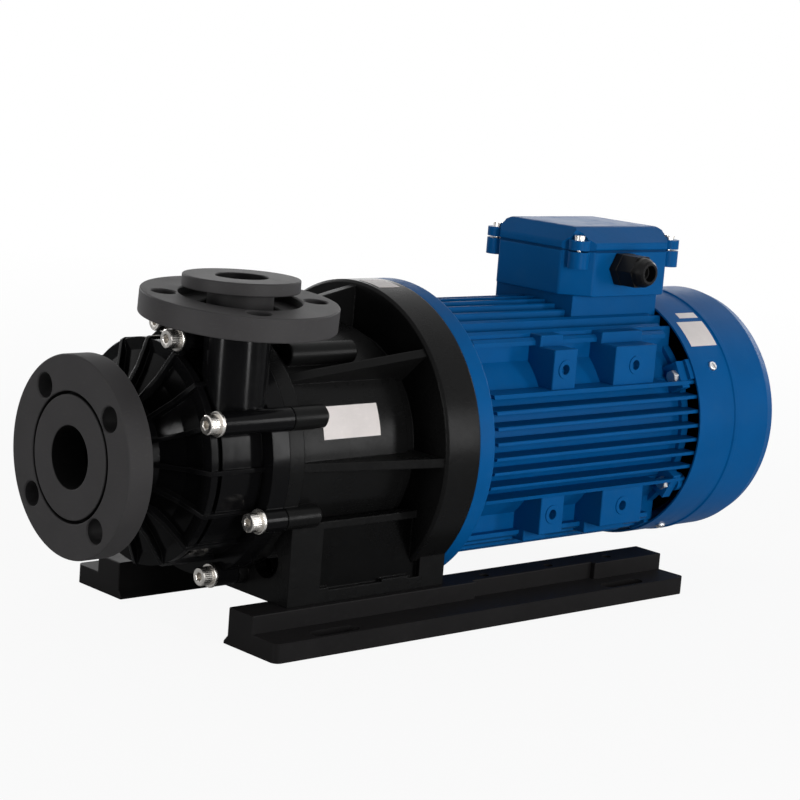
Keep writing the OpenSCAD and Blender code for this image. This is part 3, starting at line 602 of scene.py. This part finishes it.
def drill(piece, circle, hole, thick):
    """Drills four holes on a bolt circle along Z, each with a small chamfer at both mouths."""
    flare = 0.0009
    wider = 1 + 2 * flare / hole
    fresh()
    bpy.ops.mesh.primitive_cylinder_add(vertices=64, radius=hole, depth=thick - 2 * flare)
    bit = bpy.context.object
    for end in (1, -1):
        bpy.ops.object.mode_set(mode="EDIT")
        choose(bit, "faces", lambda face: face.normal.z * end > 0.9)
        bpy.ops.mesh.extrude_region_move(TRANSFORM_OT_translate={"value": (0, 0, end * flare * 2)})
        bpy.ops.transform.resize(value=(wider, wider, 1))
        bpy.ops.object.mode_set(mode="OBJECT")
    first_hole = Matrix.Translation((circle, 0, -thick / 2))
    carved(piece, copies(bit, [Matrix.Rotation(math.pi / 2 * i, 4, "Z") @ first_hole for i in range(4)]))


def stub_outline(bore, collar, collar_thick, pipe, length):
    """Outline of a stub end with its face at height 0, and its collar and pipe below."""
    return [(bore, 0), (collar, 0), (collar, -collar_thick), (pipe, -collar_thick), (pipe, -length),
            (bore, -length)]


def ring_outline(outer, thick, collar, recess, bore):
    """Outline of a loose ring with its face at height 0 and a recess for the collar."""
    return [(bore, -thick), (outer, -thick), (outer, 0), (collar, 0), (collar, -recess), (bore, -recess)]


charcoal = (0.034, 0.0325, 0.033)
suction_bore = 23.5
suction_turn = math.radians(128)
to_suction = Matrix.Translation(at(0, 0, 0)) @ Matrix.Rotation(-math.pi / 2, 4, "Y")
suction_charcoal = machined("suction_charcoal", charcoal, 0.5, "X", at(0, 0, 0), suction_bore + 0.2)
suction_stub = turned("suction_stub", stub_outline(suction_bore, 46.5, 10.1, 30, 30), 0.0011)
suction_stub.data.transform(to_suction)
settle(suction_stub, suction_charcoal, "pump", "flange_plastic", "suction_stub_end")
suction_ring = turned("suction_ring", ring_outline(76, 21, 48.7, 10.5, 32), 0.0013)
drill(suction_ring, circle=0.06, hole=0.0095, thick=0.021)
suction_ring.data.transform(to_suction @ Matrix.Rotation(suction_turn, 4, "Z"))
settle(suction_ring, suction_charcoal, "suction_ring", "flange_plastic", "suction_ring_flange")


# Discharge side: a stub end is butt fused on the outlet neck, its loose ring dropped on a stop below.
# The ring leans a little to the near side; both are machined charcoal plastic.
outlet = (97.5, -64.75)
outlet_face = 140.5
outlet_bore = 19.5
ring_face = 125.5
ring_lean = math.radians(4.2)
ring_turn = math.radians(65.5)
discharge_charcoal = machined("discharge_charcoal", shade(charcoal, 1.15), 0.46, "Z", at(*outlet, 0),
                              outlet_bore + 0.2)
discharge_stub = turned("discharge_stub", stub_outline(outlet_bore, 43.5, 9.5, 24.5, 37.5), 0.0011)
discharge_stub.data.transform(Matrix.Translation(at(*outlet, outlet_face)))
settle(discharge_stub, discharge_charcoal, "pump", "flange_plastic", "discharge_stub_end")
discharge_ring = turned("discharge_ring", ring_outline(73.5, 18, 45.7, 8, 31), 0.0013)
drill(discharge_ring, circle=0.057, hole=0.009, thick=0.018)
leaning = Matrix.Rotation(ring_lean, 4, "X") @ Matrix.Rotation(ring_turn, 4, "Z")
discharge_ring.data.transform(Matrix.Translation(at(*outlet, ring_face)) @ leaning)
settle(discharge_ring, discharge_charcoal, "discharge_ring", "flange_plastic", "discharge_ring_flange")


# Motor end shield: a round cast plate with the mounting flange, painted blue with the whole motor.
# Four zinc plated hex screws pull it on the bracket's disc.
paint_dust = (0.05, 0.13, 0.23, 1)


def enamel(name, colour, gloss=0.33, edge=0.0):
    """Satin enamel on a casting: orange peel, dull dusty patches and small paint runs."""
    made = Finish(name, specular_ior_level=0.035)
    cloud = made.noise(20, 5)
    dust = made.ramp(made.noise(75, 6), 0.5, 0.85)
    tone = made.blend(cloud, shade(colour, 0.86), shade(colour, 1.16))
    made.feed("Base Color", made.blend(dust * 0.08, tone, paint_dust))
    made.feed("Roughness", cloud * 0.14 + gloss + dust * 0.14)
    soft_edge = made.round_edges(edge) if edge else None
    cast = made.bump(made.noise(48, 3), 0.16, 0.001, soft_edge)
    made.feed("Normal", made.bump(made.noise(520, 2), 0.16, 0.0003, cast))
    return made


casting_colour = (0.0012, 0.076, 0.24)
motor_blue = enamel("motor_blue", casting_colour)
shield = softened("drive_shield", "drive_end_shield", radius=0.0011, shortest=0.003)
settle(shield, motor_blue, "pump", "blue_paint", "drive_end_shield")
flange_face = 314
flange_circle = 107.5
flange_places = [round_shaft(flange_face, angle, flange_circle) for angle in (45, 135, 225, 315)]
flange_screw = hex_screw("flange_screws", across=18, head=7.5, shank=5.9, length=37.4)
settle(copies(flange_screw, flange_places), zinc, "pump", "steel", "flange_bolts", smooth=25)


# Inside the motor: laminated cores, copper end windings, the stepped shaft and two ball bearings.
# They are pressed in place and hidden by the frame, so their solids keep their shapes.
dress(metal("core_steel", (0.32, 0.32, 0.34), 0.38, (60, 1, 1), 30.0), "stator_core", "rotor_core")
dress(metal("winding_copper", (0.62, 0.27, 0.1), 0.3, (1, 14, 14), 60.0), "stator_windings")
dress(metal("shaft_steel", (0.52, 0.52, 0.54), 0.2), "motor_shaft", "fan_circlip")
dress(metal("bearing_steel", (0.62, 0.62, 0.64), 0.14), "drive_bearing_outer", "drive_bearing_inner",
      "rear_bearing_outer", "rear_bearing_inner")


# Motor frame: an iron casting, painted blue, with level side fins and upright fins above and below.
# It has upright foot pads with tapped holes and a platform for the terminal box.
# The fins and the platform run on a little way under the cowl.
def out_of_sight(spot):
    """The four corners of the frame, where the foot pads cover it, and its rear end."""
    height = abs(spot.z - shaft_height / 1000)
    return 0.045 < abs(spot.y) < 0.1 and 0.04 < height < 0.1 or spot.x > 0.2435


motor_frame = softened("finned_frame", "motor_frame", radius=0.0009, shortest=0.006, spared=out_of_sight)
settle(motor_frame, motor_blue, "pump", "blue_paint", "motor_frame")


def block(name, low, high):
    """A plain block between two corners given in millimetres from the suction face and the shaft."""
    fresh()
    bpy.ops.mesh.primitive_cube_add(size=1)
    piece = bpy.context.object
    piece.name = name
    size = [(b - a) / 1000 for a, b in zip(low, high)]
    middle = at(*[(a + b) / 2 for a, b in zip(low, high)])
    piece.data.transform(Matrix.Translation(middle) @ Matrix.Diagonal((*size, 1)))
    return piece


fin_pitch = 12.3
fin_root, fin_reach = 88, 107.3
fin_half = 1.5
tail_start, tail_end = 560, 580


def fin_tails(places, upright):
    """The rear ends of the fins at these places, on both sides of the shaft."""
    made = []
    half = fin_half + 0.05
    for place in places:
        root = math.sqrt(fin_root ** 2 - place ** 2)
        tip = math.sqrt(fin_reach ** 2 - (abs(place) + fin_half) ** 2)
        for side in (-1, 1):
            inner, outer = sorted((side * root, side * tip))
            low = (place - half, inner) if upright else (inner, place - half)
            high = (place + half, outer) if upright else (outer, place + half)
            made.append(block("fin_tails", (tail_start, *low), (tail_end, *high)))
    return made


level_tails = fin_tails([fin_pitch * (i + 0.5) for i in range(-4, 4)], upright=False)
upright_tails = fin_tails([fin_pitch * i for i in (-5, -4, 4, 5)], upright=True)
platform = block("fin_tails", (469.7, -46.3, 80), (576.7, 46.3, 113.9))
tails = joined([*level_tails, *upright_tails, platform])
settle(rounded(tails, 0.0006), motor_blue, "pump", "blue_paint")

pad_face, pad_back = -93.5, -62
pad_low, pad_high = 43.2, 77.6
pad_hole, pad_hole_height = 4.2, 61
step_face, step_back = -75.9, -46
step_low, step_high = 58, 87
step_inset = 0.2
pad_round = 0.0012


def foot_pad(start, end):
    """One upright foot pad on the near upper side, with a set back step and a hole in a raised ring."""
    pad = rounded(block("foot_pads", (start, pad_face, pad_low), (end, pad_back, pad_high)), pad_round)
    step = block("foot_pads", (start + step_inset, step_face, step_low),
                 (end - step_inset, step_back, step_high))
    rounded(step, pad_round)
    mouth = at((start + end) / 2, pad_face, pad_hole_height)
    fresh()
    bpy.ops.mesh.primitive_cylinder_add(vertices=48, radius=pad_hole / 1000, depth=0.024, location=mouth,
                                        rotation=(math.pi / 2, 0, 0))
    carved(pad, bpy.context.object)
    ring = turned("foot_pads", [(pad_hole, -0.5), (7.8, -0.5), (7.8, 0.9), (pad_hole, 0.9)], 0.0003)
    ring.data.transform(Matrix.Translation(mouth) @ Matrix.Rotation(math.pi / 2, 4, "X"))
    return joined([pad, step, ring])


to_shaft = Matrix.Translation((0, 0, shaft_height / 1000))
far_side = Matrix.Diagonal((1, -1, 1, 1))
low_side = to_shaft @ Matrix.Diagonal((1, 1, -1, 1)) @ to_shaft.inverted()
near_pads = joined([foot_pad(404.4, 431.6), foot_pad(478.4, 529.6)])
pads = copies(near_pads, [Matrix.Identity(4), far_side, low_side, far_side @ low_side])
outward(pads)
settle(pads, motor_blue, "pump", "blue_paint")


# Fan end: a cast rear shield with lugs, small screws, a black fan on the shaft and a pressed sheet cowl.
# The cowl has a rolled bead and a grille, and four pan head screws hold it on the lugs.
dress(enamel("shield_blue", casting_colour, edge=0.0008), "rear_end_shield")
to_pump = Matrix.Rotation(math.pi, 4, "Z")
lug_face = 562
lug_circle = 100
shield_places = [round_shaft(lug_face, angle, lug_circle) @ to_pump for angle in (28, 152, -28, -152)]
shield_screw = hex_screw("shield_screws", across=10, head=5, shank=2.9, length=19)
settle(copies(shield_screw, shield_places), zinc, "pump", "steel", "shield_bolts", smooth=25)
dress(wet_black, "cooling_fan")
dress(enamel("cowl_blue", (0.0012, 0.08, 0.255), 0.3, edge=0.0005), "fan_cowl")

pan_radius, pan_height = 0.0042, 0.0028
cross_length, cross_width, cross_depth = 0.0052, 0.001, 0.0012
fresh()
bpy.ops.mesh.primitive_cylinder_add(vertices=48, radius=pan_radius, depth=pan_height,
                                    location=(0, 0, pan_height / 2))
pan_screw = bpy.context.object
pan_screw.name = "pan_screws"
bpy.ops.object.transform_apply(location=True, rotation=True, scale=True)
bpy.ops.object.mode_set(mode="EDIT")
choose(pan_screw, "edges", lambda edge: all(corner.co.z > pan_height * 0.9 for corner in edge.verts))
bpy.ops.mesh.bevel(offset=0.0016, segments=4, affect="EDGES")
bpy.ops.object.mode_set(mode="OBJECT")
for wide, deep in ((cross_length, cross_width), (cross_width, cross_length)):
    fresh()
    bpy.ops.mesh.primitive_cube_add(size=1, location=(0, 0, pan_height))
    bit = bpy.context.object
    bit.scale = (wide, deep, cross_depth * 2)
    bpy.ops.object.transform_apply(location=True, rotation=True, scale=True)
    carved(pan_screw, bit)
cross_turn = 0.5
pan_screw.data.transform(Matrix.Rotation(math.pi / 2, 4, "X") @ Matrix.Rotation(cross_turn, 4, "Z"))
pan_row = 602
cowl_radius = 110.5
pan_places = [round_shaft(pan_row, angle, cowl_radius) for angle in (30, 120, 210, 300)]
settle(copies(pan_screw, pan_places), zinc, "pump", "steel", "cowl_screws", smooth=30)


# Terminal box: a blue painted cast box with cut corners on the platform, its bevelled lid on a gasket.
# Four screws in corner ears hold the lid; a moulded board with brass studs is inside.
box_blue = enamel("box_blue", (0.0012, 0.08, 0.25), 0.3)
box = softened("wiring_box", "terminal_box", radius=0.0018, shortest=0.012)
settle(box, box_blue, "pump", "blue_paint", "terminal_box")
lid = softened("wiring_box_lid", "terminal_box_lid", radius=0.0016, shortest=0.012)
settle(lid, box_blue, "pump", "blue_paint", "terminal_box_lid")
dress(enamel("gasket_blue", (0.0008, 0.036, 0.12)), "lid_gasket")
dress(moulded("board_brown", (0.12, 0.06, 0.04), 0.5, 0.2), "terminal_board")
dress(metal("stud_brass", (0.72, 0.52, 0.2), 0.2), "terminal_studs")
dress(stainless, "lid_screws")


# Cable gland: a hexagon body and a dome nut moulded in black nylon, with a rubber sleeve between them.
# It is screwed in the near wall of the box, held by a locknut inside, and stays empty.
gland_black = moulded("gland_black", (0.005, 0.005, 0.0055), 0.3, 0.2, edge=0.0006)
gland = softened("gland_hex", "gland_body", radius=0.0006)
settle(gland, gland_black, "pump", "gland_plastic", "gland_body")
dress(gland_black, "gland_dome_nut", "gland_locknut")
dress(seal_black, "gland_seal")


# Labels: thin white film on the barrel, the disc and the cowl.
# Each is bent round its curved surface and stuck on by hand.
label_white = moulded("label_white", (0.72, 0.67, 0.65), 0.42, 0.05, rubbed=0.05)


def film(name, radius, start, end, low, high, slot):
    """A thin label bent round the shaft between two places along it and two angles."""
    fresh()
    bpy.ops.mesh.primitive_grid_add(x_subdivisions=12, y_subdivisions=24, size=2)
    piece = bpy.context.object
    piece.name = name
    for corner in piece.data.vertices:
        x = start + (end - start) * (corner.co.x + 1) / 2
        angle = math.radians(low + (high - low) * (corner.co.y + 1) / 2)
        corner.co = at(x, -radius * math.cos(angle), radius * math.sin(angle))
    outward(piece)
    thick = piece.modifiers.new("thick", "SOLIDIFY")
    thick.thickness = 0.00025
    thick.offset = 0
    bpy.ops.object.modifier_apply(modifier="thick")
    settle(piece, label_white, "pump", slot)


film("barrel_label", 92.15, 166, 222.5, 11.8, 27.5, "casing_plastic")
film("disc_label", 125.15, 268, 290, 78.5, 89.5, "casing_plastic")
film("cowl_label_small", 110.65, 594.5, 619, 57, 60.5, "blue_paint")
film("cowl_label", 110.65, 586, 620, 40.5, 54.5, "blue_paint")


# Floor and light: a pale floor that keeps a soft shadow, and a white studio with soft lamps all round.
# Two low strips give the streaks on the shiny casing, and a wide lamp behind gives the sheen on the lid.
fresh()
bpy.ops.mesh.primitive_circle_add(vertices=96, radius=4, fill_type="NGON", location=(0, 0, 0))
floor = bpy.context.object
floor.name = "floor"
floor_paint = Finish("floor_paint", base_color=(0.6, 0.6, 0.6, 1), roughness=0.8)
ray = floor_paint.node("ShaderNodeLightPath", out="Is Camera Ray")
floor_place = floor_paint.node("ShaderNodeTexCoord", out="Object")
far = floor_paint.node("ShaderNodeVectorMath", {"operation": "LENGTH"}, {0: floor_place}, out="Value")
fade = floor_paint.ramp(far * 0.4, 0.25, 0.95)
glow = floor_paint.node("ShaderNodeEmission", {}, {"Color": (1, 1, 1, 1), "Strength": 1.0})
surface = Wire(floor_paint, floor_paint.shader.outputs[0])
glow_share = ray * (fade * 0.08 + 0.92)
lit_floor = floor_paint.node("ShaderNodeMixShader", {}, {0: glow_share, 1: surface, 2: glow})
floor_end = floor_paint.tree.nodes["Material Output"]
floor_paint.tree.links.new(lit_floor.socket, floor_end.inputs["Surface"])
floor.data.materials.append(floor_paint.material)


def soft_lamp(name, place, aim, width, height, power):
    """A soft rectangular lamp that looks at a point."""
    lamp = bpy.data.objects.new(name, bpy.data.lights.new(name, "AREA"))
    lamp.data.shape = "RECTANGLE"
    lamp.data.size = width
    lamp.data.size_y = height
    lamp.data.energy = power
    lamp.location = place
    lamp.rotation_euler = (Vector(aim) - Vector(place)).to_track_quat("-Z", "Y").to_euler()
    lamp.visible_camera = False
    bpy.context.scene.collection.objects.link(lamp)


soft_lamp("near_lamp", (0.05, -2.4, 0.68), (0.05, 0, 0.5), 0.3, 1.3, 11)
soft_lamp("near_strip", (-0.15, -1.12, 0.27), (-0.15, 0, 0.27), 0.15, 0.5, 4.6)
soft_lamp("motor_lamp", (1.45, -1.95, 0.46), (0, 0, 0.35), 0.26, 0.9, 13)
soft_lamp("suction_strip", (-1.32, -0.05, 0.27), (0, -0.05, 0.27), 0.14, 0.5, 5.2)
soft_lamp("top_lamp", (0.3, 0.2, 2.0), (0, 0, 0.1), 1.4, 1.0, 4)
soft_lamp("rear_lamp", (1.8, 1.74, 0.72), (0.2, 0, 0.3), 1.6, 0.7, 5.6)
soft_lamp("far_lamp", (-0.1, 2.4, 0.8), (0, 0, 0.15), 0.9, 0.9, 13)
soft_lamp("fan_lamp", (2.2, 0.3, 0.75), (0.2, 0, 0.15), 0.9, 0.9, 10)

world = bpy.data.worlds.new("studio")
bpy.context.scene.world = world
world.use_nodes = True
air = world.node_tree
air.nodes.clear()
path = air.nodes.new("ShaderNodeLightPath")
seen = air.nodes.new("ShaderNodeMath")
seen.operation = "MAXIMUM"
seen_all = air.nodes.new("ShaderNodeMath")
seen_all.operation = "MAXIMUM"
air.links.new(path.outputs["Is Camera Ray"], seen.inputs[0])
air.links.new(path.outputs["Is Glossy Ray"], seen.inputs[1])
air.links.new(seen.outputs[0], seen_all.inputs[0])
air.links.new(path.outputs["Is Transmission Ray"], seen_all.inputs[1])
dim = air.nodes.new("ShaderNodeBackground")
dim.inputs["Color"].default_value = (0.9, 0.95, 1, 1)
dim.inputs["Strength"].default_value = 0.14
white = air.nodes.new("ShaderNodeBackground")
white.inputs["Color"].default_value = (1, 1, 1, 1)
white.inputs["Strength"].default_value = 1.0
both = air.nodes.new("ShaderNodeMixShader")
air.links.new(seen_all.outputs[0], both.inputs[0])
air.links.new(dim.outputs[0], both.inputs[1])
air.links.new(white.outputs[0], both.inputs[2])
world_end = air.nodes.new("ShaderNodeOutputWorld")
air.links.new(both.outputs[0], world_end.inputs["Surface"])
bpy.context.scene.view_settings.view_transform = "Standard"
